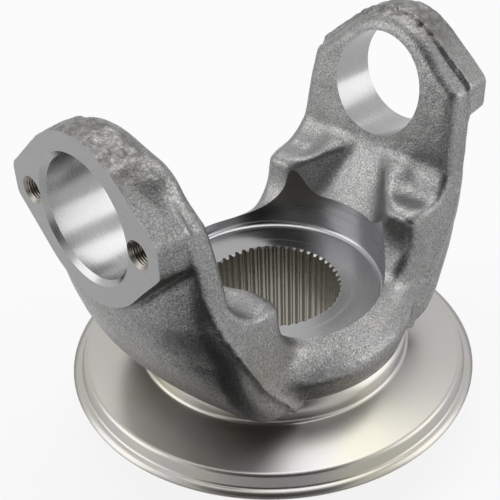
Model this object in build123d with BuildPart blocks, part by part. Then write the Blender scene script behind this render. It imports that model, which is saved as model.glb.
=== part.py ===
from build123d import *
from math import acos, atan2, cos, hypot, pi, radians, sin, sqrt, tan
import os

os.makedirs("parts", exist_ok=True)

# Frame: origin at the centre of the hub's end face, Z up along the spline axis,
# X along the axis of the two cap bores. All sizes are in millimetres.

# Ears and cap bores
ear_span = 191.7
ear_thickness = 24.85
ear_top_radius = 35.6
ear_knee_width = 42.5
ear_knee_above_bore = 7.0
ear_knee_blend = 8.0
bore_above_floor = 78.6
cap_bore_d = 49.2
cap_bore_chamfer = 2.0
forging_draft = 7.8

# Machined face of each ear, with a wing round each tapped hole
face_proud = 0.8
pad_radius = 35.2
wing_reach = 43.5
wing_above = 8.0
wing_below = 5.0
wing_corner = 3.0
wing_depth = 15.0
wing_draft = 6.0

# Tapped holes for the bearing plates
tap_spacing = 64.6
tap_drill_d = 8.5
tap_countersink_d = 11.5
tap_depth = 20.0

# Arms, from the foot of each ear down to the ring
arm_half_width = 49.5
arm_bend_below_bore = 36.0
arm_bend_radius = 106.0
arm_bend_angle = 30.0
arm_outer_edge = 6.0
arm_crown_radius = 85.0
crown_overrun = 6.0
foot_above_floor = 47.3
foot_radius = 7.0
inner_edge_radius = 4.0

# Root lugs, four blocks that stand beside the counterbore
lug_face = 42.0
lug_tip_above_floor = 34.6
lug_tip_radius = 4.5
lug_root_radius = 22.0

# Hollow of each arm: a cone round the spline axis that ends at a leaning face of each lug
hollow_low_above_floor = 19.5
hollow_top_above_floor = 45.0
hollow_top_radius = 66.5
hollow_half_angle = 50.0
lug_end_at = (48.8, 20.5, 20.3)
lug_end_turn = 43.5
lug_end_lean = 78.5

# Dish in the top of each lug
dish_radius = 13.5
dish_centre = (53.0, 34.0, 49.9)

# Ring round the counterbore
ring_radius = 66.0
ring_depth = 20.0
ring_top_above_floor = 6.2
ring_slope = 38.0
ring_outer_edge = 7.0
ring_low_edge = 1.5
parting_below_floor = 8.0
counterbore_d = 105.0
counterbore_floor_radius = 3.0

# Splined bore
spline_teeth = 50
spline_pitch_d = 63.5
spline_root_d = 65.3
spline_tip_d = 62.2
spline_pressure_angle = 30.0
spline_lead_in = 0.8

# Hub below the ring, with the shoulder that carries the slinger
hub_length = 62.0
hub_d = 88.0
hub_chamfer = 1.5
shoulder_d = 125.0
shoulder_height = 11.0
shoulder_foot_radius = 4.0

# Dust slinger: one pressed sheet, from its collar out to the turned rim
sheet = 1.5
slinger_d = 194.8
collar_gap = 0.6
collar_height = 7.8
collar_bend = 2.0
dish_drop = 2.6
rim_wall_d = 182.0
rim_wall_height = 5.6
rim_wall_lean = 2.4
rim_bend = 2.6
lip_bend = 1.6
lip_drop = 1.0

# Levels and radii that follow from the sizes above
floor_z = hub_length
bore_z = floor_z + bore_above_floor
face_x = ear_span / 2
cap_r = cap_bore_d / 2
counterbore_r = counterbore_d / 2
ring_low_z = floor_z - ring_depth
ring_top_z = floor_z + ring_top_above_floor
shoulder_low_z = ring_low_z - shoulder_height
foot_z = floor_z + foot_above_floor
clear_z = bore_z + 2 * ear_top_radius
draft_run = tan(radians(forging_draft))
near = 0.05


def inner_face_x(z):
    return face_x - ear_thickness + draft_run * (z - bore_z)


# Space between the lugs of one arm, cut out of the yoke below
with BuildPart() as hollow:
    with BuildSketch(Plane.XZ.rotated((0, 0, -hollow_half_angle))):
        hollow_low_z = floor_z + hollow_low_above_floor
        hollow_top_z = floor_z + hollow_top_above_floor
        Polygon(
            (lug_face / 2, hollow_low_z),
            (counterbore_r, hollow_low_z),
            (hollow_top_radius, hollow_top_z),
            (lug_face / 2, hollow_top_z),
            align=None,
        )
    revolve(axis=Axis.Z, revolution_arc=2 * hollow_half_angle)
    for side in (1, -1):
        lean_in = sin(radians(lug_end_lean))
        outward = (
            -lean_in * cos(radians(lug_end_turn)),
            -side * lean_in * sin(radians(lug_end_turn)),
            cos(radians(lug_end_lean)),
        )
        foot = (lug_end_at[0], side * lug_end_at[1], floor_z + lug_end_at[2])
        split(bisect_by=Plane(origin=foot, z_dir=outward), keep=Keep.TOP)


with BuildPart() as yoke:
    # Side profile of one arm and its ear, pulled out to both flanks
    with BuildSketch(Plane.XZ) as arm_side:
        with BuildLine():
            back = Line((face_x - face_proud, clear_z), (face_x - face_proud, bore_z - arm_bend_below_bore))
            downward = (-sin(radians(forging_draft)), -cos(radians(forging_draft)))
            bend = JernArc(back @ 1, downward, arm_bend_radius, -arm_bend_angle)
            slope = forging_draft + arm_bend_angle
            heel_radius = ((bend @ 1).Y - ring_low_z) / (1 - sin(radians(slope)))
            heel = JernArc(bend @ 1, bend % 1, heel_radius, slope - 90)
            under = Line(heel @ 1, (lug_face / 2, ring_low_z))
            core = Line(under @ 1, (lug_face / 2, ring_top_z))
            step = Line(core @ 1, (lug_face - lug_root_radius, ring_top_z))
            root = JernArc(step @ 1, (1, 0), lug_root_radius, 90)
            lug = Line(root @ 1, (lug_face, floor_z + lug_tip_above_floor))
            ledge = Line(lug @ 1, (inner_face_x(foot_z), foot_z))
            inner = Line(ledge @ 1, (inner_face_x(clear_z), clear_z))
            Line(inner @ 1, back @ 0)
        make_face()
        fillet(arm_side.vertices().sort_by_distance(lug @ 1)[0], lug_tip_radius)
        fillet(arm_side.vertices().sort_by_distance(ledge @ 1)[0], foot_radius)
    extrude(amount=arm_half_width, both=True)
    flanks = yoke.edges().filter_by(lambda e: abs(abs(e.center().Y) - arm_half_width) < near)
    outer_edges = [flanks.sort_by_distance(Vector(c.X, 0, c.Y))[:2] for c in (back @ 0.5, bend @ 0.5, heel @ 0.5)]
    fillet(outer_edges[0] + outer_edges[1] + outer_edges[2], arm_outer_edge)

    # Crown of the arm's back: an arc across it, carried down along the profile
    crown_start = Plane(origin=(face_x - face_proud, 0, clear_z), x_dir=(0, 1, 0), z_dir=(0, 0, -1))
    with BuildSketch(crown_start) as crown_section:
        with BuildLine():
            reach = arm_half_width + crown_overrun
            sag = arm_crown_radius - sqrt(arm_crown_radius**2 - reach**2)
            arc = ThreePointArc((-reach, -sag), (0, 0), (reach, -sag))
            Polyline(arc @ 1, (reach, crown_overrun), (-reach, crown_overrun), arc @ 0)
        make_face()
    sweep(path=Plane.XZ * Wire([back, bend, heel]), mode=Mode.SUBTRACT)

    # Front outline of the ear: a round head on flanks that lean out down to the arm
    knee = (ear_knee_width, ear_knee_above_bore)
    lean = (arm_half_width - knee[0]) / (bore_z + knee[1] - ring_low_z)
    low = (arm_half_width + lean * ring_low_z, -bore_z)
    turn = atan2(knee[1], knee[0]) + acos(ear_top_radius / hypot(*knee))
    touch = (ear_top_radius * cos(turn), ear_top_radius * sin(turn))
    with BuildSketch(Plane.YZ) as ear_front:
        with Locations((0, bore_z)):
            Circle(ear_top_radius)
            Polygon(touch, (-touch[0], touch[1]), (-knee[0], knee[1]), (-low[0], low[1]), low, knee, align=None)
        fillet(ear_front.vertices().filter_by(lambda v: abs(v.Y - bore_z - knee[1]) < near), ear_knee_blend)
    extrude(amount=2 * face_x, mode=Mode.INTERSECT)

    # Inner edges of each flank, from the lug up round the head of the ear
    flat_faces = yoke.faces().filter_by(GeomType.PLANE)
    flank_faces = flat_faces.filter_by(lambda f: abs(f.normal_at().Y) > 0.9)
    inner_wall = flat_faces.filter_by(lambda f: f.normal_at().X < -0.9 and f.center().Z > foot_z)[0]
    wall_low_z = min(v.Z for v in inner_wall.vertices())
    head_edges = inner_wall.edges().filter_by(lambda e: abs((e @ 0.5).Y) > near or (e @ 0.5).Z > bore_z)
    lug_edges = (flank_faces[0].edges() + flank_faces[1].edges()).filter_by(
        lambda e: ring_top_z < (e @ 0.5).Z < wall_low_z and (e @ 0.5).X < inner_face_x((e @ 0.5).Z) + near
    )
    fillet(head_edges + lug_edges, inner_edge_radius)

    # Hollow between the lugs, and a round dish in the top of each lug, cut by a sphere whose poles lie along Y
    add(hollow.part, mode=Mode.SUBTRACT)
    on_its_side = (90, 0, 0)
    for side in (1, -1):
        dish_at = (dish_centre[0], side * dish_centre[1], floor_z + dish_centre[2])
        with Locations(Location(dish_at, on_its_side)):
            Sphere(dish_radius, mode=Mode.SUBTRACT)

    # Pad round the cap bore, with a wing for each tapped hole
    with BuildSketch(Plane(origin=(face_x, 0, bore_z), x_dir=(0, 1, 0), z_dir=(1, 0, 0))) as pad:
        with BuildLine():
            CenterArc((0, 0), pad_radius, 0, 360)
            Line((wing_reach, -wing_below), (wing_reach, wing_above))
            Line((-wing_reach, -wing_below), (-wing_reach, wing_above))
        make_hull()
        fillet(pad.vertices().filter_by(lambda v: abs(v.X) > wing_reach - near), wing_corner)
    extrude(amount=-wing_depth, taper=wing_draft)

    mirror(about=Plane.YZ)

    # Ring, shoulder and hub, turned about the spline axis; the ring tapers below its parting line
    parting_z = floor_z - parting_below_floor
    ring_low_radius = ring_radius - draft_run * (parting_z - ring_low_z)
    with BuildSketch(Plane.XZ) as turned:
        with BuildLine():
            Polyline(
                (0, 0),
                (hub_d / 2, 0),
                (hub_d / 2, shoulder_low_z),
                (shoulder_d / 2, shoulder_low_z),
                (shoulder_d / 2, ring_low_z),
                (ring_low_radius, ring_low_z),
                (ring_radius, parting_z),
                (ring_radius, ring_top_z - (ring_radius - counterbore_r) * tan(radians(ring_slope))),
                (counterbore_r, ring_top_z),
                (0, ring_top_z),
                close=True,
            )
        make_face()
        fillet(turned.vertices().filter_by(lambda v: v.X > ring_radius - near).sort_by(Axis.Y)[-1], ring_outer_edge)
        fillet(turned.vertices().sort_by_distance((ring_low_radius, ring_low_z))[0], ring_low_edge)
        fillet(turned.vertices().sort_by_distance((hub_d / 2, shoulder_low_z))[0], shoulder_foot_radius)
        chamfer(turned.vertices().sort_by_distance((hub_d / 2, 0))[0], hub_chamfer)
    revolve(axis=Axis.Z)

    # Counterbore with its rounded floor corner
    with BuildSketch(Plane.XY.offset(floor_z)):
        Circle(counterbore_r)
    extrude(amount=clear_z - floor_z, mode=Mode.SUBTRACT)
    floor_corner = yoke.edges().filter_by(GeomType.CIRCLE).filter_by(
        lambda e: abs(e.center().Z - floor_z) < near and abs(e.radius - counterbore_r) < near
    )
    fillet(floor_corner, counterbore_floor_radius)

    # Splined bore: a plain bore to the tooth tips, then one space per tooth
    tip_r = spline_tip_d / 2
    root_r = spline_root_d / 2
    pitch_r = spline_pitch_d / 2
    flank_run = tan(radians(spline_pressure_angle))
    half_space = pi * spline_pitch_d / spline_teeth / 4
    mouth_r = tip_r - 0.4
    half_mouth = half_space + (pitch_r - mouth_r) * flank_run
    half_root = half_space - (root_r - pitch_r) * flank_run
    with BuildSketch():
        Circle(tip_r)
        with PolarLocations(0, spline_teeth):
            Polygon(
                (mouth_r, -half_mouth), (root_r, -half_root), (root_r, half_root), (mouth_r, half_mouth), align=None
            )
    extrude(amount=floor_z, mode=Mode.SUBTRACT)
    with BuildSketch(Plane.XZ):
        Polygon(
            (0, floor_z), (tip_r + spline_lead_in, floor_z), (tip_r, floor_z - spline_lead_in),
            (0, floor_z - spline_lead_in), align=None,
        )
    revolve(axis=Axis.Z, mode=Mode.SUBTRACT)

    # Cap bores on one axis through both ears, chamfered at the outer faces
    with BuildSketch(Plane.YZ):
        with Locations((0, bore_z)):
            Circle(cap_r)
    extrude(amount=face_x, both=True, mode=Mode.SUBTRACT)
    mouths = yoke.edges().filter_by(GeomType.CIRCLE).filter_by(
        lambda e: abs(abs(e.center().X) - face_x) < near and abs(e.radius - cap_r) < near
    )
    chamfer(mouths, cap_bore_chamfer)

    # Tapped holes beside each cap bore
    for side in (1, -1):
        with Locations(Plane(origin=(side * face_x, 0, bore_z), x_dir=(0, 1, 0), z_dir=(side, 0, 0))):
            with GridLocations(tap_spacing, 0, 2, 1):
                CounterSinkHole(tap_drill_d / 2, tap_countersink_d / 2, depth=tap_depth)
yoke.part.label = "yoke"


with BuildPart() as slinger:
    # Upper side of the sheet, from the collar's top edge to the rim's outer edge
    collar_r = shoulder_d / 2 + sheet
    collar_top_z = ring_low_z - collar_gap
    dish_z = collar_top_z - collar_height
    crest_z = dish_z - dish_drop
    crest_r = rim_wall_d / 2
    lip_z = crest_z - rim_wall_height
    with BuildSketch(Plane.XZ):
        with BuildLine():
            FilletPolyline(
                (collar_r, collar_top_z),
                (collar_r, dish_z),
                (crest_r, crest_z),
                (crest_r + rim_wall_lean, lip_z),
                (slinger_d / 2, lip_z - lip_drop),
                radius=[collar_bend, rim_bend, lip_bend],
            )
            offset(amount=sheet, side=Side.RIGHT)
        make_face()
    revolve(axis=Axis.Z)
slinger.part.label = "slinger"

export_step(yoke.part, "parts/yoke.step")
export_step(slinger.part, "parts/slinger.step")
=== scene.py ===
import math

import bmesh
import bpy
import numpy as np
from mathutils import Matrix, Vector


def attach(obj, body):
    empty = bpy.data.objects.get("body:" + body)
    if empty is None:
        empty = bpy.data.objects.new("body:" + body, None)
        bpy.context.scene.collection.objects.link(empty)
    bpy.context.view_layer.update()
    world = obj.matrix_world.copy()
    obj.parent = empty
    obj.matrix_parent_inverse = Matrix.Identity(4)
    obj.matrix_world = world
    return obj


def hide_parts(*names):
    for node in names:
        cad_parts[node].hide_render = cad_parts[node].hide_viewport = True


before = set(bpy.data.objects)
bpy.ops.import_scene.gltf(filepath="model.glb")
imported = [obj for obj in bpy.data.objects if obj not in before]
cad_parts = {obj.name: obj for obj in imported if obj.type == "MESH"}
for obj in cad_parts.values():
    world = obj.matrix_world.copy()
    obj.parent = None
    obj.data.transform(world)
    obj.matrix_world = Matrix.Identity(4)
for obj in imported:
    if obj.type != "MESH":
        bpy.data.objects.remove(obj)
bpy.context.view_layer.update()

MM = 0.001

# Sizes in millimetres, in the frame of the solids. Heights marked "above" count from the counterbore's floor.
FLOOR_Z = 62.0
BORE_ABOVE = 78.6
FACE_X = 95.85
CAP_R = 24.6
CAP_CHAMFER = 2.0
TAP_Y = 32.3
TAP_R = 4.25
TAP_MOUTH_R = 5.75
TAP_DEPTH = 20.0
THREAD_PITCH = 1.058
THREAD_R = 4.76
COUNTERBORE_R = 52.5
FLOOR_CORNER = 3.0
RING_R = 66.0
RING_TOP_ABOVE = 6.2
RING_LOW_ABOVE = -20.0
RING_END_ABOVE = -16.5
PARTING_ABOVE = -8.0
SHOULDER_R = 62.5
SHOULDER_Z = 31.0
HUB_R = 44.0
SPLINE_TEETH = 50
SPLINE_TIP_R = 31.1
SPLINE_ROOT_R = 32.65
SPLINE_PITCH_R = 31.75
GRID_STEP = 1.15

# Outline of the ear and its machined pad, as (y, height over the bore)
HEAD_R = 34.8
KNEE = (43.0, 7.0)
FLANK = [(45.3, -9.6), (46.2, -20), (46.9, -30), (49.0, -42), (50.3, -51), (50.9, -73.6), (51.6, -84.6),
         (52.9, -98.6)]
PAD_R = 34.8
WING_Y, WING_TOP, WING_LOW = 43.3, 8.0, -5.0
DIE_SHIFT = 0.7
HEAD_DROP = 1.0

# Where the dies part on an arm's flank, as (height above the floor, x)
PARTING = [(-20, 40), (-13, 44), (-4, 51.4), (4, 57), (16, 63), (27, 68.6), (40, 74.4), (59, 80.5), (79, 83.0),
           (120, 86.0)]

# Crown of the arm, hollow between the lugs with its leaning ends, and the dish in each lug
CROWN_R = 85.0
CROWN_REACH = 60.0
HOLLOW_LOW, HOLLOW_KINK, HOLLOW_TOP = 20.0, 45.0, 66.0
HOLLOW_LEAN, EAR_LEAN = 0.549, 0.1376
HOLLOW_STEEPNESS = 0.877
LUG_END_AT = (48.8, 20.5, 20.3)
LUG_END_NORMAL = (0.711, 0.674, -0.200)
DISH_AT = (53.2, 33.0, 51.0)
DISH_R = 13.2
PAD_INNER_X, PAD_OUTER_X = 82.0, 98.0

# Lead of the spline's mouth, how far the hub reaches into the ring, and the slinger's sheet
SPLINE_LEAD = 0.9
HUB_OVERLAP = 6.0
SHEET = 1.5
SWEEP_R = 80.0


# Forged blank: a field of signed distances on a grid, then its surface

def smooth_step(t):
    t = np.clip(t, 0.0, 1.0)
    return t * t * (3.0 - 2.0 * t)


def round_and(a, b, r):
    """Intersection of two fields with a round of radius r along the outer corner."""
    return np.minimum(np.maximum(a, b), -r) + np.hypot(np.maximum(a + r, 0), np.maximum(b + r, 0))


def soft_or(a, b, k):
    """Union of two fields that flow into each other over the width k."""
    h = np.maximum(k - np.abs(a - b), 0.0) / k
    return np.minimum(a, b) - h * h * k * 0.25


def cut_soft(a, hole, k):
    """Field a with a hole taken out of it, its rim eased over the width k."""
    return -soft_or(-a, hole, k)


def outline_field(points, u, v):
    """Signed distance in a plane to a closed outline, negative inside."""
    pts = np.array(points, float)
    nxt = np.roll(pts, -1, 0)
    best = np.full(u.shape, 1e9)
    inside = np.zeros(u.shape, bool)
    for (ax, ay), (bx, by) in zip(pts, nxt):
        ex, ey = bx - ax, by - ay
        t = np.clip(((u - ax) * ex + (v - ay) * ey) / max(ex * ex + ey * ey, 1e-9), 0, 1)
        best = np.minimum(best, np.hypot(u - ax - t * ex, v - ay - t * ey))
        if abs(ey) > 1e-9:
            crosses = ((ay > v) != (by > v)) & (u < (bx - ax) * (v - ay) / ey + ax)
            inside ^= crosses
    return np.where(inside, -best, best)


def arc_points(centre, radius, first, last, steps=16):
    """Points on an arc, by angle in degrees from the first axis."""
    turns = np.radians(np.linspace(first, last, steps + 1))
    return [(centre[0] + radius * math.cos(a), centre[1] + radius * math.sin(a)) for a in turns]


def eased_corners(points, radii, steps=8):
    """An open line with a true round of the given radius at each inner point."""
    out = [points[0]]
    for i in range(1, len(points) - 1):
        p, a, b = (np.array(q, float) for q in (points[i], points[i - 1], points[i + 1]))
        u, v = (a - p) / np.linalg.norm(a - p), (b - p) / np.linalg.norm(b - p)
        half = math.acos(float(np.clip(u @ v, -1, 1))) / 2
        r = radii[i - 1]
        centre = p + (u + v) / np.linalg.norm(u + v) * (r / math.sin(half))
        start, stop = p + u * (r / math.tan(half)) - centre, p + v * (r / math.tan(half)) - centre
        total = math.acos(float(np.clip(start @ stop / r / r, -1, 1)))
        for k in range(steps + 1):
            t = k / steps
            w = (math.sin((1 - t) * total) * start + math.sin(t * total) * stop) / math.sin(total)
            out.append(tuple(centre + w))
    return out + [points[-1]]


def tangent_turn(point, radius):
    """Angle in degrees at which a line from the point touches a circle round the origin."""
    y, z = point
    lean = math.degrees(math.acos(radius / math.hypot(y, z)))
    return math.degrees(math.atan2(z, y)) + (lean if z > 0 else -lean)


def lattice_noise(x, y, z, size, seed):
    """Smooth random values between -1 and 1 on cells of one size, for three grid lines."""
    rng = np.random.default_rng(seed)
    spans = []
    for line in (x, y, z):
        t = line / size
        low = np.floor(t).astype(int)
        spans.append((low - low.min(), smooth_step(t - low)))
    table = rng.uniform(-1, 1, [int(s[0].max()) + 2 for s in spans]).astype(np.float32)
    (i, fx), (j, fy), (k, fz) = spans
    out = np.zeros((len(x), len(y), len(z)), np.float32)
    for di in (0, 1):
        wx = (fx if di else 1 - fx)[:, None, None]
        for dj in (0, 1):
            wy = (fy if dj else 1 - fy)[None, :, None]
            for dk in (0, 1):
                wz = (fz if dk else 1 - fz)[None, None, :]
                out += (wx * wy * wz * table[np.ix_(i + di, j + dj, k + dk)]).astype(np.float32)
    return out


def parting_x(h):
    """Where the dies part on an arm's flank, by height above the floor."""
    return np.interp(h, *zip(*PARTING))


def arm_back(side_u, side_v):
    """Side view of the arm's back: straight down the ear, a long bend, then the heel."""
    bend = arc_points((-9.97, 56.99), 106.0, -7.8, -37.8)
    heel = arc_points((49.26, 11.05), 31.05, -37.8, -90.0)
    return outline_field([(-60, 130), (95.05, 130)] + bend + heel + [(44, -32), (-60, -32)], side_u, side_v)


def arm_inside(side_u, side_v):
    """Side view of the arm's inner surface: saddle, root arc, lug face, ledge and inner wall of the ear."""
    root = arc_points((20.0, 28.2), 22.0, -90.0, 0.0)
    rest = eased_corners([root[-1], (42.0, 34.8), (66.7, 47.3), (77.2, 124.0)], [3.6, 8.0])
    outline = [(-10, RING_TOP_ABOVE)] + root[:-1] + rest + [(200, 124), (200, -60), (-10, -60)]
    return outline_field(outline, side_u, side_v)


def ear_front(front_u, front_v, corner):
    """Front view of head and flank, with a round of the given radius where the shoulder meets the flank."""
    turn = tangent_turn(KNEE, HEAD_R)
    head = arc_points((0, 0), HEAD_R, 90.0, turn)
    side = eased_corners([head[-1], KNEE, FLANK[0]], [corner])
    outline = [(-60, HEAD_R)] + head + side[1:] + FLANK[1:] + [(-60, FLANK[-1][1])]
    return outline_field([(a, b + BORE_ABOVE) for a, b in outline], front_u, front_v)


def pad_front(front_u, front_v):
    """Front view of the pad round the cap bore, with its wing."""
    up, low = tangent_turn((WING_Y, WING_TOP), PAD_R), tangent_turn((WING_Y, WING_LOW), PAD_R)
    upper, lower = arc_points((0, 0), PAD_R, 90.0, up), arc_points((0, 0), PAD_R, low, -90.0)
    wing = eased_corners([upper[-1], (WING_Y, WING_TOP), (WING_Y, WING_LOW), lower[0]], [5.0, 3.2])
    outline = [(-60, PAD_R)] + upper + wing[1:-1] + lower + [(-60, -PAD_R)]
    return outline_field([(a, b + BORE_ABOVE) for a, b in outline], front_u, front_v)


def blank_side(side, x, y, h):
    """One arm of the forging before machining with its half of the ring, x counted outwards, h above the floor."""
    across = np.abs(y + DIE_SHIFT)
    X, Y, Z = x[:, None, None], across[None, :, None], h[None, None, :]
    side_u, side_v = np.meshgrid(x, h, indexing="ij")
    front_u, front_v = np.meshgrid(across, h, indexing="ij")

    # Back of the arm with its crown, and the inner surface
    sag = CROWN_R - np.sqrt(CROWN_R ** 2 - np.minimum(Y, CROWN_REACH) ** 2)
    sag = sag * np.interp(h, [-20, -14, -6, 5, 23], [0.3, 0.5, 0.6, 0.75, 1.0])
    lines = np.arange(0.0, 125.0, 0.6)
    back = looked_up(arm_back(*np.meshgrid(lines, h, indexing="ij")), (X + sag) / 0.6)
    inside = arm_inside(side_u, side_v)[:, None, :]

    # Front outline, drafted both ways from the parting line, its shoulder crisper near the machined face
    crisp = smooth_step((X - 74.0) / 16.0)
    drop = HEAD_DROP * smooth_step((front_v - BORE_ABOVE) / 26.0) if side > 0 else 0.0
    soft, hard = (ear_front(front_u, front_v + drop, r)[None] for r in (2.5, 1.4))
    front = soft * (1 - crisp) + hard * crisp
    if side > 0:
        front = front + 1.1 * smooth_step((front_v - BORE_ABOVE - 2.0) / 14.0)
    away = X - parting_x(h)[None, None, :]
    front = front + np.where(away > 0, 0.05, 0.10) * np.abs(away) * smooth_step((Z + 24.0) / 20.0)
    front = front - 0.8 * np.exp(-(away / 1.2) ** 2) * smooth_step((BORE_ABOVE + 6.0 - Z) / 6.0)
    if side < 0:
        turn = np.degrees(np.arctan2(front_v - BORE_ABOVE, -(y[:, None] + DIE_SHIFT)))
        shoulder = 3.9 * np.exp(-((turn - 39.0) / 15.0) ** 2)
        below = smooth_step((12.0 - turn) / 20.0) * smooth_step((turn + 60.0) / 20.0)
        front = front - (shoulder + below)[None] * smooth_step((92.0 - X) / 15.0)

    outer_round = np.interp(h, [-20, 0, 30, 60, 72], [4, 5, 5, 4, 2.5])[None, None, :]
    arm = round_and(back, front, outer_round)
    inner_round = np.interp(h, [4, 10, 34, 50, 78, 105], [4.0, 6.0, 5.0, 5.0, 4.8, 5.5])[None, None, :]
    arm = round_and(arm, inside, inner_round)

    # Hollow between the lugs: a cone round the spline axis that ends at a leaning face of each lug
    wall = COUNTERBORE_R + (np.minimum(Z, HOLLOW_KINK) - HOLLOW_LOW) * HOLLOW_LEAN
    wall = wall + np.maximum(Z - HOLLOW_KINK, 0.0) * EAR_LEAN
    cone = (np.hypot(X, y[None, :, None]) - wall) * HOLLOW_STEEPNESS
    lug_end = sum(n * (line - at) for n, line, at in zip(LUG_END_NORMAL, (X, Y, Z), LUG_END_AT))
    hollow = -soft_or(-cone, -lug_end, 2.5)
    hollow = -soft_or(-hollow, HOLLOW_TOP - Z, 8.0)
    arm = cut_soft(arm, hollow, 3.2)

    # Dish in the top of each lug
    at_x, at_y, at_z = DISH_AT
    dish = np.sqrt((X - at_x) ** 2 + np.minimum(Y - at_y, 0.0) ** 2 + (Z - at_z) ** 2) - DISH_R
    arm = cut_soft(arm, dish, 3.4)

    # Pad round the cap bore
    pad_u = np.repeat(np.abs(y + 0.5 * DIE_SHIFT)[:, None], len(h), 1)
    draft = np.interp(h, [84.0, 104.0], [0.105, 0.030])[None, None, :]
    pad = pad_front(pad_u, front_v)[None] - draft * np.maximum(FACE_X - X, 0.0)
    if side > 0:
        pad = pad + 0.6 * smooth_step((front_v - BORE_ABOVE - 12.0) / 14.0)
    ease = np.interp(h, [84.0, 98.0], [3.0, 2.2])[None, None, :]
    pad = np.maximum(pad, np.maximum(PAD_INNER_X - X, X - PAD_OUTER_X))
    arm = soft_or(arm, pad, ease)

    # Ring round the counterbore, into which the flanks flare
    ring = ring_field(np.hypot(x[:, None], y[None, :]), h)
    flare = np.interp(h, [-18, -8, 3, 9], [1.5, 4, 10, 5])[None, None, :]
    blank = soft_or(arm, ring, flare)
    return np.maximum(blank, RING_LOW_ABOVE - Z)


def looked_up(table, place):
    """Values of a table over (line, height) at fractional line numbers given for each point."""
    place = np.clip(place, 0, len(table) - 1.001)
    low = place.astype(int)
    part = place - low
    height = np.arange(table.shape[1])[None, None, :]
    return table[low, height] * (1 - part) + table[low + 1, height] * part


def ring_field(R, h):
    """Turned outline of the ring, as a field over radius and height."""
    radii = np.arange(0.0, float(R.max()) + 2.0, 0.5)
    u, v = np.meshgrid(radii, h, indexing="ij")
    top = RING_TOP_ABOVE + 1.2
    shape = eased_corners([(51.4, top), (RING_R, -4.2), (RING_R, PARTING_ABOVE), (63.7, RING_END_ABOVE)], [7.5, 1.0])
    table = outline_field([(-60, top)] + shape + [(-60, RING_END_ABOVE)], u, v)
    return looked_up(table, np.repeat(R[:, :, None] / 0.5, len(h), 2))


def blank_field(step):
    """Field over the whole forging, with the grid lines it stands on, in mm."""
    half_x = np.arange(0.5, 100.0 / step + 1) * step
    y = np.arange(0.5, 72.0 / step + 1) * step
    y = np.concatenate([-y[::-1], y])
    h = np.arange(RING_LOW_ABOVE - 2.5 * step, BORE_ABOVE + 38.0, step)
    left, right = (blank_side(side, half_x, y, h).astype(np.float32) for side in (-1, 1))
    whole = np.concatenate([left[::-1], right], 0)
    x = np.concatenate([-half_x[::-1], half_x])

    # Scaled skin all over, and torn metal where the flash was sheared off the heads
    whole += 0.12 * lattice_noise(x, y, h, 9.0, 11) + 0.06 * lattice_noise(x, y, h, 3.5, 12)
    tear = np.abs(lattice_noise(x, y, h, 4.6, 21)) + 0.5 * np.abs(lattice_noise(x, y, h, 2.8, 22))
    upper = smooth_step((h - BORE_ABOVE - 22.0) / 8.0)[None, None, :]
    outer = smooth_step((np.abs(x) - 76.0) / 4.0)[:, None, None]
    whole += 1.5 * np.maximum(0.55 - tear, 0.0) * upper * outer
    return whole, x, y, h


def surface_of(field, x, y, z):
    """Surface nets: one vertex in each cell that the surface crosses, one quad per crossed grid edge."""
    inside = field < 0
    corners = [(i, j, k) for i in (0, 1) for j in (0, 1) for k in (0, 1)]
    n = np.array(field.shape) - 1
    count = np.zeros(n, np.int8)
    for i, j, k in corners:
        count += inside[i:i + n[0], j:j + n[1], k:k + n[2]]
    cells = np.argwhere((count > 0) & (count < 8))
    value = {c: field[cells[:, 0] + c[0], cells[:, 1] + c[1], cells[:, 2] + c[2]] for c in corners}
    total = np.zeros((len(cells), 3))
    hits = np.zeros(len(cells))
    for a in corners:
        for axis in range(3):
            if a[axis]:
                continue
            b = list(a)
            b[axis] = 1
            va, vb = value[a], value[tuple(b)]
            crossed = (va < 0) != (vb < 0)
            t = np.where(crossed, va / np.where(crossed, va - vb, 1.0), 0.0)
            point = np.repeat(np.array(a, float)[None], len(cells), 0)
            point[:, axis] = t
            total += point * crossed[:, None]
            hits += crossed
    spot = cells + total / hits[:, None]
    lines = (x, y, z)
    verts = np.stack([np.interp(spot[:, i], np.arange(len(lines[i])), lines[i]) for i in range(3)], 1)

    index = np.full(n, -1, np.int64)
    index[tuple(cells.T)] = np.arange(len(cells))
    quads = []
    for axis in range(3):
        u, v = (axis + 1) % 3, (axis + 2) % 3
        lo = [slice(None)] * 3
        hi = [slice(None)] * 3
        lo[axis], hi[axis] = slice(0, -1), slice(1, None)
        first, second = inside[tuple(lo)], inside[tuple(hi)]
        edges = np.argwhere(first != second)
        edges = edges[(edges[:, u] > 0) & (edges[:, v] > 0) & (edges[:, u] < n[u]) & (edges[:, v] < n[v])]
        ring = []
        for du, dv in ((-1, -1), (0, -1), (0, 0), (-1, 0)):
            c = edges.copy()
            c[:, u] += du
            c[:, v] += dv
            ring.append(index[tuple(c.T)])
        quad = np.stack(ring, 1)
        flip = ~first[tuple(edges.T)]
        quad[flip] = quad[flip][:, ::-1]
        quads.append(quad)
    return verts, np.vstack(quads)


def piece_from(name, verts, faces, materials=(), smooth=True):
    """A mesh object from points in mm and faces, at the origin."""
    mesh = bpy.data.meshes.new(name)
    mesh.from_pydata((np.asarray(verts, float) * MM).tolist(), [], [list(map(int, f)) for f in faces])
    mesh.update()
    for m in materials:
        mesh.materials.append(m)
    mesh.polygons.foreach_set("use_smooth", [smooth] * len(mesh.polygons))
    obj = bpy.data.objects.new(name, mesh)
    bpy.context.scene.collection.objects.link(obj)
    return obj


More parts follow.
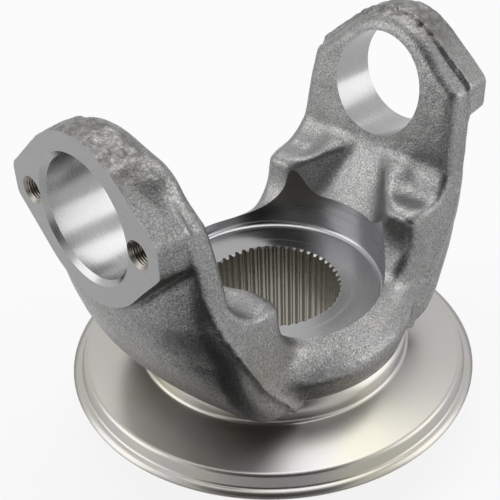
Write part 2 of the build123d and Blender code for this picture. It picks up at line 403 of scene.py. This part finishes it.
def lathe(name, outline, axis, materials, segments=192, rule=None):
    """A closed outline of (radius, along) pairs turned about an axis. rule gives a material index per outline edge."""
    pts = np.array(outline, float)
    turn = np.arange(segments) * 2 * math.pi / segments
    c, s = np.cos(turn), np.sin(turn)
    verts, ring_of = [], []
    for r, a in pts:
        if r < 1e-6:
            ring_of.append([len(verts)] * segments)
            verts.append((0.0, 0.0, a))
        else:
            ring_of.append(list(range(len(verts), len(verts) + segments)))
            verts += [(r * c[i], r * s[i], a) for i in range(segments)]
    faces, index = [], []
    for e in range(len(pts)):
        lo, hi = ring_of[e], ring_of[(e + 1) % len(pts)]
        if lo[0] == lo[1] and hi[0] == hi[1]:
            continue
        for i in range(segments):
            j = (i + 1) % segments
            face = [lo[i], lo[j], hi[j], hi[i]]
            face = [v for n, v in enumerate(face) if v not in face[:n]]
            faces.append(face)
            index.append(rule[e] if rule else 0)
    verts = np.array(verts)
    if axis == "x":
        verts = verts[:, [2, 0, 1]]
    obj = piece_from(name, verts, faces, materials)
    obj.data.polygons.foreach_set("material_index", index)
    fix_normals(obj)
    return obj


def fix_normals(obj):
    bm = bmesh.new()
    bm.from_mesh(obj.data)
    bmesh.ops.remove_doubles(bm, verts=bm.verts, dist=1e-6)
    bmesh.ops.recalc_face_normals(bm, faces=bm.faces)
    bm.to_mesh(obj.data)
    bm.free()


def combine(body, tool, operation):
    """One boolean step on body, after which the tool is gone."""
    m = body.modifiers.new("step", "BOOLEAN")
    m.operation = operation
    m.solver = "MANIFOLD"
    m.object = tool
    take_result(body)
    bpy.data.objects.remove(tool)


def take_result(obj):
    """Turns what an object's modifiers make into its plain mesh."""
    bpy.context.view_layer.update()
    dg = bpy.context.evaluated_depsgraph_get()
    mesh = bpy.data.meshes.new_from_object(obj.evaluated_get(dg), preserve_all_data_layers=True, depsgraph=dg)
    obj.modifiers.clear()
    old = obj.data
    obj.data = mesh
    bpy.data.meshes.remove(old)
    obj.data.name = obj.name


def block(name, low, high, material):
    v = [(a, b, c) for a in (low[0], high[0]) for b in (low[1], high[1]) for c in (low[2], high[2])]
    f = [(0, 1, 3, 2), (4, 6, 7, 5), (0, 4, 5, 1), (2, 3, 7, 6), (0, 2, 6, 4), (1, 5, 7, 3)]
    obj = piece_from(name, v, f, [material], smooth=False)
    fix_normals(obj)
    return obj


# Node helpers

def new_material(name):
    m = bpy.data.materials.new(name)
    m.use_nodes = True
    nt = m.node_tree
    nt.nodes.clear()
    out = nt.nodes.new("ShaderNodeOutputMaterial")
    shader = nt.nodes.new("ShaderNodeBsdfPrincipled")
    nt.links.new(shader.outputs[0], out.inputs["Surface"])
    return m, nt, shader


def node(nt, kind, settings=None, **inputs):
    """Adds a node, sets its settings and its inputs. An input may be a socket to link or a plain value."""
    made = nt.nodes.new(kind)
    for key, value in (settings or {}).items():
        setattr(made, key, value)
    for key, value in inputs.items():
        name = key.replace("_", " ")
        socket = made.inputs[int(key[1:])] if key[0] == "i" and key[1:].isdigit() else made.inputs[name]
        if isinstance(value, bpy.types.NodeSocket):
            nt.links.new(value, socket)
        else:
            socket.default_value = value
    return made


def grain(nt, vector, scale, detail=3.0, rough=0.55, stretch=None):
    if stretch:
        vector = node(nt, "ShaderNodeMapping", Vector=vector, Scale=stretch).outputs[0]
    return node(nt, "ShaderNodeTexNoise", Vector=vector, Scale=scale, Detail=detail, Roughness=rough).outputs["Fac"]


def levels(nt, value, from_low, from_high, to_low, to_high):
    return node(nt, "ShaderNodeMapRange", {"clamp": True}, i0=value, i1=from_low, i2=from_high, i3=to_low,
                i4=to_high).outputs[0]


def blend_colour(nt, fac, a, b):
    mix = node(nt, "ShaderNodeMix", {"data_type": "RGBA", "blend_type": "MIX"})
    for socket, value in ((mix.inputs[0], fac), (mix.inputs[6], a), (mix.inputs[7], b)):
        if isinstance(value, bpy.types.NodeSocket):
            nt.links.new(value, socket)
        else:
            socket.default_value = value
    return mix.outputs[2]


def maths(nt, op, a, b=0.0, c=0.0):
    made = node(nt, "ShaderNodeMath", {"operation": op})
    for socket, value in zip(made.inputs, (a, b, c)):
        if isinstance(value, bpy.types.NodeSocket):
            nt.links.new(value, socket)
        else:
            socket.default_value = value
    return made.outputs[0]


def grey(v, tint=(1.0, 1.0, 1.0)):
    return (v * tint[0], v * tint[1], v * tint[2], 1.0)


def object_coords(nt):
    return nt.nodes.new("ShaderNodeTexCoord").outputs["Object"]


def turned_coords(nt, at):
    """Radius and height of a point as one vector, for marks that run round the spline axis."""
    parts = node(nt, "ShaderNodeSeparateXYZ", Vector=at).outputs
    squares = maths(nt, "ADD", maths(nt, "MULTIPLY", parts[0], parts[0]), maths(nt, "MULTIPLY", parts[1], parts[1]))
    return node(nt, "ShaderNodeCombineXYZ", X=maths(nt, "SQRT", squares), Y=parts[2]).outputs[0]


def seen_rays(nt):
    """1 for rays that the camera sees directly, in a reflection or through glass, and 0 for the rest."""
    path = nt.nodes.new("ShaderNodeLightPath").outputs
    indirect = maths(nt, "MAXIMUM", path["Is Glossy Ray"], path["Is Transmission Ray"])
    return maths(nt, "MAXIMUM", path["Is Camera Ray"], indirect)


def bumped(nt, height, strength, distance, normal=None):
    made = node(nt, "ShaderNodeBump", Height=height, Strength=strength, Distance=distance)
    if normal is not None:
        nt.links.new(normal, made.inputs["Normal"])
    return made.outputs[0]


def forged_skin():
    """Shot-cleaned forging: fine speckle whose light specks are glossier, faint brown at places, dark torn tops."""
    m, nt, shader = new_material("forged_skin")
    at = object_coords(nt)
    speck = grain(nt, at, 1300.0, 2.0)
    patch = grain(nt, at, 120.0, 4.0)
    warm = grain(nt, at, 45.0, 3.0)
    tone = blend_colour(nt, levels(nt, speck, 0.35, 0.68, 0.0, 1.0), grey(0.17), grey(0.38, (1.0, 0.985, 0.965)))
    tone = blend_colour(nt, levels(nt, patch, 0.35, 0.7, 0.0, 0.45), tone, grey(0.18))
    tone = blend_colour(nt, levels(nt, warm, 0.60, 0.78, 0.0, 0.35), tone, (0.28, 0.22, 0.17, 1.0))

    # Where the flash was sheared off the tops of the heads
    parts = node(nt, "ShaderNodeSeparateXYZ", Vector=at).outputs
    high = levels(nt, parts[2], 0.157, 0.170, 0.0, 1.0)
    outside = levels(nt, maths(nt, "ABSOLUTE", parts[0]), 0.074, 0.082, 0.0, 1.0)
    folds = levels(nt, grain(nt, at, 330.0, 3.0), 0.36, 0.56, 0.15, 0.85)
    torn = maths(nt, "MULTIPLY", maths(nt, "MULTIPLY", high, outside), folds)
    tone = blend_colour(nt, torn, tone, (0.11, 0.105, 0.10, 1.0))
    nt.links.new(tone, shader.inputs["Base Color"])
    shader.inputs["Metallic"].default_value = 0.95
    nt.links.new(levels(nt, speck, 0.3, 0.7, 0.44, 0.30), shader.inputs["Roughness"])
    pits = grain(nt, at, 900.0, 3.0, 0.6)
    lumps = grain(nt, at, 260.0, 3.0)
    normal = bumped(nt, pits, 0.50, 0.00030)
    normal = bumped(nt, lumps, 0.30, 0.0006, normal)
    nt.links.new(normal, shader.inputs["Normal"])
    return m


def cut_metal(name, tone, roughness, streak_scale, stretch, streak_depth, tint=(1.0, 1.0, 1.0)):
    """Bare cut steel with fine tool marks along one direction."""
    m, nt, shader = new_material(name)
    at = object_coords(nt)
    marks = grain(nt, at, streak_scale, 2.0, 0.6, stretch)
    cloud = grain(nt, at, 60.0, 2.0)
    colour = blend_colour(nt, levels(nt, marks, 0.3, 0.7, 0.0, 1.0), grey(tone * 0.86, tint), grey(tone, tint))
    nt.links.new(colour, shader.inputs["Base Color"])
    shader.inputs["Metallic"].default_value = 1.0
    rough = maths(nt, "ADD", levels(nt, marks, 0.3, 0.7, roughness * 0.85, roughness * 1.15),
                  levels(nt, cloud, 0.3, 0.7, -0.02, 0.03))
    nt.links.new(rough, shader.inputs["Roughness"])
    nt.links.new(bumped(nt, marks, streak_depth, 0.0001), shader.inputs["Normal"])
    return m


def turned_metal(name, tone, roughness, depth, tint=(1.0, 1.0, 1.0)):
    """Steel turned about the spline axis: marks depend on radius and height only."""
    m, nt, shader = new_material(name)
    ring = turned_coords(nt, object_coords(nt))
    marks = grain(nt, ring, 3500.0, 2.0, 0.6)
    wide = grain(nt, ring, 400.0, 2.0, 0.5)
    colour = blend_colour(nt, levels(nt, marks, 0.3, 0.7, 0.0, 1.0), grey(tone * 0.88, tint), grey(tone, tint))
    nt.links.new(colour, shader.inputs["Base Color"])
    shader.inputs["Metallic"].default_value = 1.0
    nt.links.new(levels(nt, wide, 0.3, 0.7, roughness * 0.8, roughness * 1.2), shader.inputs["Roughness"])
    nt.links.new(bumped(nt, marks, depth, 0.00006), shader.inputs["Normal"])
    return m


def zinc_plate():
    """Satin zinc over pressed sheet, with a faint yellow and violet cast."""
    m, nt, shader = new_material("zinc_plate")
    at = object_coords(nt)
    cloud = grain(nt, at, 22.0, 3.0)
    fine = grain(nt, at, 1800.0, 2.0)
    spin = grain(nt, turned_coords(nt, at), 1200.0, 2.0)
    yellow, violet = (0.42, 0.405, 0.33, 1.0), (0.43, 0.415, 0.42, 1.0)
    base = blend_colour(nt, levels(nt, cloud, 0.35, 0.65, 0.0, 1.0), yellow, violet)
    base = blend_colour(nt, levels(nt, spin, 0.35, 0.7, 0.0, 0.35), base, (0.42, 0.41, 0.395, 1.0))
    nt.links.new(base, shader.inputs["Base Color"])
    shader.inputs["Metallic"].default_value = 1.0
    nt.links.new(levels(nt, cloud, 0.3, 0.7, 0.27, 0.35), shader.inputs["Roughness"])
    normal = bumped(nt, fine, 0.12, 0.0001)
    normal = bumped(nt, spin, 0.10, 0.0001, normal)
    nt.links.new(normal, shader.inputs["Normal"])
    return m


SKIN = forged_skin()
MILLED = cut_metal("milled_face", 0.35, 0.34, 160.0, (1.0, 0.5, 14.0), 0.12)
BORED = cut_metal("bored_wall", 0.39, 0.25, 160.0, (16.0, 1.0, 1.0), 0.07)
TURNED = turned_metal("turned_recess", 0.38, 0.24, 0.03, (0.98, 0.98, 1.0))
SPLINE = cut_metal("spline_wall", 0.40, 0.30, 220.0, (6.0, 6.0, 0.8), 0.25, (1.0, 0.96, 0.86))
THREAD = cut_metal("thread_wall", 0.30, 0.35, 900.0, (1.0, 1.0, 1.0), 0.2, (1.0, 0.93, 0.84))
HUB = turned_metal("turned_hub", 0.60, 0.25, 0.2)
ZINC = zinc_plate()
YOKE_MATERIALS = [SKIN, MILLED, BORED, TURNED, SPLINE, THREAD, HUB]


# Geometry Nodes helpers

def node_group(name, sockets):
    tree = bpy.data.node_groups.new(name, "GeometryNodeTree")
    tree.interface.new_socket("Geometry", in_out="INPUT", socket_type="NodeSocketGeometry")
    tree.interface.new_socket("Geometry", in_out="OUTPUT", socket_type="NodeSocketGeometry")
    for label, kind, value in sockets:
        socket = tree.interface.new_socket(label, in_out="INPUT", socket_type=kind)
        if value is not None:
            socket.default_value = value
    start = tree.nodes.new("NodeGroupInput")
    end = tree.nodes.new("NodeGroupOutput")
    return tree, start, end


def run_group(obj, tree, values):
    """Gives the tree to obj with its inputs set by identifier, and keeps the plain mesh it makes."""
    m = obj.modifiers.new("build", "NODES")
    m.node_group = tree
    for item in tree.interface.items_tree:
        if item.item_type == "SOCKET" and item.in_out == "INPUT" and item.name in values:
            m[item.identifier] = values[item.name]
    take_result(obj)


def spline_cutter():
    """Plain bore to the tooth tips, and one tooth space per tooth made as a second cutting body."""
    tree, start, end = node_group("tooth_spaces", [
        ("Teeth", "NodeSocketInt", SPLINE_TEETH), ("Metal", "NodeSocketMaterial", None)])
    circle = node(tree, "GeometryNodeMeshCircle", {"fill_type": "NONE"}, Vertices=start.outputs["Teeth"], Radius=0.001)
    where = tree.nodes.new("GeometryNodeInputPosition")
    parts = node(tree, "ShaderNodeSeparateXYZ", Vector=where.outputs[0]).outputs
    angle = node(tree, "ShaderNodeMath", {"operation": "ARCTAN2"}, i0=parts[1], i1=parts[0]).outputs[0]
    turn = node(tree, "ShaderNodeCombineXYZ", Z=angle).outputs[0]
    spread = node(tree, "GeometryNodeInstanceOnPoints", Points=circle.outputs[0], Instance=start.outputs["Geometry"],
                  Rotation=turn)
    solid = node(tree, "GeometryNodeRealizeInstances", Geometry=spread.outputs[0])
    paint = node(tree, "GeometryNodeSetMaterial", Geometry=solid.outputs[0], Material=start.outputs["Metal"])
    tree.links.new(paint.outputs[0], end.inputs[0])

    # One tooth space: straight flanks with a small round at the root, from below the hub to above the floor
    half_pitch = math.pi * SPLINE_PITCH_R / SPLINE_TEETH / 2
    slope = math.tan(math.radians(30))
    mouth_r = SPLINE_TIP_R - 1.2
    section = []
    for r in (mouth_r, SPLINE_PITCH_R, SPLINE_ROOT_R - 0.35, SPLINE_ROOT_R):
        w = half_pitch - (r - SPLINE_PITCH_R) * slope
        section.append((r - 1.0, w if r < SPLINE_ROOT_R - 0.1 else w - 0.22))
    loop = [(r, -w) for r, w in section] + [(r, w) for r, w in reversed(section)]
    n = len(loop)
    verts = [(r, w, -3.0) for r, w in loop] + [(r, w, FLOOR_Z + 3.0) for r, w in loop]
    faces = [tuple(range(n)), tuple(range(2 * n - 1, n - 1, -1))]
    faces += [(i, (i + 1) % n, n + (i + 1) % n, n + i) for i in range(n)]
    spaces = piece_from("tooth_spaces", verts, faces, smooth=False)
    fix_normals(spaces)
    run_group(spaces, tree, {"Teeth": SPLINE_TEETH, "Metal": SPLINE})

    outline = [(0, -3), (SPLINE_TIP_R, -3), (SPLINE_TIP_R, FLOOR_Z - SPLINE_LEAD),
               (SPLINE_TIP_R + SPLINE_LEAD + 2.0, FLOOR_Z + 2.0), (0, FLOOR_Z + 2.0)]
    core = lathe("spline_core", outline, "z", [SPLINE, TURNED], SPLINE_TEETH * 8, rule=[0, 0, 1, 0, 0])
    return core, spaces


def thread_cutter(side, y):
    """Tapped hole: countersunk mouth, then a wall that follows the thread's helix."""
    rounds, per_turn = 32, 8
    steps = int((TAP_DEPTH + 1.0) / THREAD_PITCH * per_turn)
    verts, faces = [], []
    for k in range(steps + 1):
        depth = -1.0 + k * THREAD_PITCH / per_turn
        for i in range(rounds):
            phase = (depth / THREAD_PITCH - i / rounds) % 1.0
            ridge = abs(2 * phase - 1)
            r = TAP_R + (THREAD_R - TAP_R) * min(1.0, ridge * 1.25)
            if depth < 1.2:
                r = max(r, TAP_MOUTH_R - depth)
            a = 2 * math.pi * i / rounds
            verts.append((FACE_X - depth, y + r * math.cos(a), FLOOR_Z + BORE_ABOVE + r * math.sin(a)))
    for k in range(steps):
        for i in range(rounds):
            j = (i + 1) % rounds
            faces.append((k * rounds + i, k * rounds + j, (k + 1) * rounds + j, (k + 1) * rounds + i))
    last = steps * rounds
    verts.append((FACE_X + 1.0, y, FLOOR_Z + BORE_ABOVE))
    verts.append((FACE_X - TAP_DEPTH - 1.5, y, FLOOR_Z + BORE_ABOVE))
    for i in range(rounds):
        j = (i + 1) % rounds
        faces.append((len(verts) - 2, j, i))
        faces.append((len(verts) - 1, last + i, last + j))
    verts = np.array(verts)
    verts[:, 0] *= side
    obj = piece_from("tapped_hole", verts, faces, [THREAD])
    fix_normals(obj)
    return obj


def machined_yoke():
    """The forged blank with every machined surface cut into it."""
    field, x, y, h = blank_field(GRID_STEP)
    verts, quads = surface_of(field, x, y, h)
    verts[:, 2] += FLOOR_Z
    body = piece_from("yoke_forging", verts, quads, YOKE_MATERIALS)
    hub_top = FLOOR_Z + RING_LOW_ABOVE + HUB_OVERLAP
    hub = lathe("hub", [(0, 0), (HUB_R - 1.5, 0), (HUB_R, 1.5), (HUB_R, SHOULDER_Z - 4.0),
                        (HUB_R + 0.8, SHOULDER_Z - 1.6), (HUB_R + 1.8, SHOULDER_Z - 0.6), (HUB_R + 4.0, SHOULDER_Z),
                        (SHOULDER_R - 0.6, SHOULDER_Z), (SHOULDER_R, SHOULDER_Z + 0.6),
                        (SHOULDER_R, hub_top), (0, hub_top)], "z", [HUB])
    combine(body, hub, "UNION")
    for side in (1, -1):
        low, high = sorted((side * FACE_X, side * (FACE_X + 20)))
        combine(body, block("face_cut", (low, -80, 60), (high, 80, 220), MILLED), "DIFFERENCE")
    c = CAP_CHAMFER
    bore = lathe("cap_bore", [(0, -FACE_X - 8), (CAP_R + c + 8, -FACE_X - 8), (CAP_R, -FACE_X + c), (CAP_R, FACE_X - c),
                              (CAP_R + c + 8, FACE_X + 8), (0, FACE_X + 8)], "x", [BORED], 256)
    bore.data.transform(Matrix.Translation((0, 0, (FLOOR_Z + BORE_ABOVE) * MM)))
    combine(body, bore, "DIFFERENCE")
    arc = [(COUNTERBORE_R - FLOOR_CORNER + FLOOR_CORNER * math.sin(a), FLOOR_CORNER - FLOOR_CORNER * math.cos(a))
           for a in np.linspace(0, math.pi / 2, 9)]
    recess = lathe("counterbore", [(0, FLOOR_Z)] + [(r, FLOOR_Z + z) for r, z in arc] +
                   [(COUNTERBORE_R, FLOOR_Z + 60), (0, FLOOR_Z + 60)], "z", [TURNED], 256)
    combine(body, recess, "DIFFERENCE")
    core, spaces = spline_cutter()
    combine(body, core, "DIFFERENCE")
    combine(body, spaces, "DIFFERENCE")
    for side in (1, -1):
        for y_tap in (TAP_Y, -TAP_Y):
            combine(body, thread_cutter(side, y_tap), "DIFFERENCE")
    return body


def mark_sharp(obj, degrees=32.0):
    """Smooth faces with hard edges where the surface turns sharply or the finish changes."""
    bm = bmesh.new()
    bm.from_mesh(obj.data)
    limit = math.radians(degrees)
    for e in bm.edges:
        if len(e.link_faces) == 2:
            a, b = e.link_faces
            hard = e.calc_face_angle(0.0) > limit and (a.material_index or b.material_index)
            e.smooth = not (hard or a.material_index != b.material_index)
    for f in bm.faces:
        f.smooth = True
    bm.to_mesh(obj.data)
    bm.free()


def slinger_piece():
    """Pressed sheet: its closed section, swept round the spline axis by a node tree."""
    top = eased_corners([(64.0, 44.8), (64.0, 33.6), (91.0, 31.0), (93.4, 25.4), (97.4, 24.4)], [2.0, 2.6, 1.6])
    loop = top + offset_line(top, -SHEET)[::-1]
    verts = [(r - SWEEP_R, -z, 0.0) for r, z in loop]
    mesh = bpy.data.meshes.new("slinger_section")
    mesh.from_pydata((np.array(verts) * MM).tolist(), [(i, (i + 1) % len(loop)) for i in range(len(loop))], [])
    obj = bpy.data.objects.new("slinger_disc", mesh)
    bpy.context.scene.collection.objects.link(obj)
    tree, start, end = node_group("swept_round", [
        ("Radius", "NodeSocketFloat", 0.08), ("Steps", "NodeSocketInt", 256), ("Metal", "NodeSocketMaterial", None)])
    section = node(tree, "GeometryNodeMeshToCurve", Mesh=start.outputs["Geometry"])
    path = node(tree, "GeometryNodeCurvePrimitiveCircle", Resolution=start.outputs["Steps"],
                Radius=start.outputs["Radius"])
    swept = node(tree, "GeometryNodeCurveToMesh", Curve=path.outputs[0], Profile_Curve=section.outputs[0])
    solid = node(tree, "GeometryNodeRealizeInstances", Geometry=swept.outputs[0])
    paint = node(tree, "GeometryNodeSetMaterial", Geometry=solid.outputs[0], Material=start.outputs["Metal"])
    tree.links.new(paint.outputs[0], end.inputs[0])
    run_group(obj, tree, {"Radius": SWEEP_R * MM, "Steps": 256, "Metal": ZINC})
    fix_normals(obj)
    return obj


def offset_line(points, distance):
    """The same open line moved sideways by a distance, to its left if positive."""
    pts = np.array(points, float)
    d = np.diff(pts, axis=0)
    n = np.stack([-d[:, 1], d[:, 0]], 1) / np.linalg.norm(d, axis=1)[:, None]
    at = np.vstack([n[:1], (n[:-1] + n[1:]), n[-1:]])
    at[1:-1] /= np.linalg.norm(at[1:-1], axis=1)[:, None]
    stretch = np.ones(len(pts))
    stretch[1:-1] = 1 / np.maximum(np.einsum("ij,ij->i", at[1:-1], n[1:]), 0.5)
    return [tuple(p) for p in pts + at * (distance * stretch)[:, None]]


# Pieces

yoke = machined_yoke()
mark_sharp(yoke)
slinger = slinger_piece()
mark_sharp(slinger)
for piece, cad_node, slot in ((yoke, "yoke", "forged_steel"), (slinger, "slinger", "zinc_plate")):
    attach(piece, "root")
    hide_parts(cad_node)


# Floor, light and camera

def studio():
    world = bpy.data.worlds.new("studio")
    bpy.context.scene.world = world
    world.use_nodes = True
    nt = world.node_tree
    nt.nodes.clear()
    out = nt.nodes.new("ShaderNodeOutputWorld")
    soft = node(nt, "ShaderNodeBackground", Color=(0.80, 0.81, 0.83, 1.0), Strength=0.45)
    white = node(nt, "ShaderNodeBackground", Color=(1.0, 1.0, 1.0, 1.0), Strength=1.0)
    mix = node(nt, "ShaderNodeMixShader", i0=seen_rays(nt), i1=soft.outputs[0], i2=white.outputs[0])
    nt.links.new(mix.outputs[0], out.inputs[0])


def floor():
    size = 3.0
    mesh = bpy.data.meshes.new("floor")
    z = -0.0002
    mesh.from_pydata([(-size, -size, z), (size, -size, z), (size, size, z), (-size, size, z)], [], [(0, 1, 2, 3)])
    obj = bpy.data.objects.new("floor", mesh)
    bpy.context.scene.collection.objects.link(obj)
    m, nt, shader = new_material("pale_floor")
    nt.nodes.remove(shader)
    out = [n for n in nt.nodes if n.type == "OUTPUT_MATERIAL"][0]
    paper = node(nt, "ShaderNodeBsdfDiffuse", Color=(0.92, 0.92, 0.92, 1.0))
    glow = node(nt, "ShaderNodeEmission", Color=(1.0, 1.0, 1.0, 1.0), Strength=1.0)
    seen = maths(nt, "MULTIPLY", seen_rays(nt), 0.85)
    mix = node(nt, "ShaderNodeMixShader", i0=seen, i1=paper.outputs[0], i2=glow.outputs[0])
    nt.links.new(mix.outputs[0], out.inputs[0])
    mesh.materials.append(m)


def dark_card(name, place, turn, width, height, tone):
    """A dark sheet outside the photograph's view, which gives the metal its dark bands."""
    w, h = width / 2, height / 2
    mesh = bpy.data.meshes.new(name)
    mesh.from_pydata([(-w, -h, 0), (w, -h, 0), (w, h, 0), (-w, h, 0)], [], [(0, 1, 2, 3)])
    obj = bpy.data.objects.new(name, mesh)
    bpy.context.scene.collection.objects.link(obj)
    obj.location = place
    obj.rotation_euler = turn
    m, nt, shader = new_material("dark_cloth")
    shader.inputs["Base Color"].default_value = grey(tone)
    shader.inputs["Roughness"].default_value = 0.9
    shader.inputs["Specular IOR Level"].default_value = 0.1
    mesh.materials.append(m)


def soft_box(name, place, target, width, height, power):
    light = bpy.data.lights.new(name, "AREA")
    light.shape = "RECTANGLE"
    light.size, light.size_y = width, height
    light.energy = power
    obj = bpy.data.objects.new(name, light)
    bpy.context.scene.collection.objects.link(obj)
    obj.location = place
    obj.rotation_euler = (Vector(target) - Vector(place)).to_track_quat("-Z", "Y").to_euler()


def camera():
    """The photograph's viewpoint, fitted from the bores, the spline and the disc."""
    a, e, roll = math.radians(-46.312), math.radians(34.743), math.radians(-0.052)
    back = Vector((math.sin(a) * math.cos(e), -math.cos(a) * math.cos(e), math.sin(e)))
    right = Vector((math.cos(a), math.sin(a), 0.0))
    up = back.cross(right)
    right, up = right * math.cos(roll) + up * math.sin(roll), up * math.cos(roll) - right * math.sin(roll)
    unit = 0.0246
    shift = Vector((-0.4893, -0.3984, -17.5775)) * unit
    turn = Matrix((right, up, back)).transposed()
    data = bpy.data.cameras.new("camera")
    data.sensor_width = 36.0
    image = 500
    data.lens = 914.1623 / image * data.sensor_width
    data.shift_x = -48.1283 / image
    data.shift_y = 12.8524 / image
    data.clip_start, data.clip_end = 0.01, 50.0
    obj = bpy.data.objects.new("camera", data)
    bpy.context.scene.collection.objects.link(obj)
    obj.matrix_world = turn.to_4x4()
    obj.location = -(turn @ shift) + Vector((0, 0, FLOOR_Z * MM))
    bpy.context.scene.camera = obj


studio()
floor()
aim = (0.0, 0.0, 0.08)
soft_box("left_box", (-1.05, 0.75, 0.55), aim, 0.9, 1.1, 5.0)
soft_box("right_box", (0.85, -1.05, 0.60), aim, 0.9, 1.1, 5.0)
soft_box("top_box", (0.25, 0.25, 1.45), aim, 1.3, 1.3, 9.0)
camera()
toward = Vector((-0.594, -0.568, 0.570))
dark_card("camera_card", Vector(aim) + toward * 0.75, (-toward).to_track_quat("Z", "Y").to_euler(), 0.95, 0.85, 0.015)
dark_card("floor_card", (-0.289, -0.276, 0.002), (0.0, 0.0, math.radians(-46.3)), 0.24, 0.60, 0.04)
bpy.context.scene.view_settings.view_transform = "Standard"
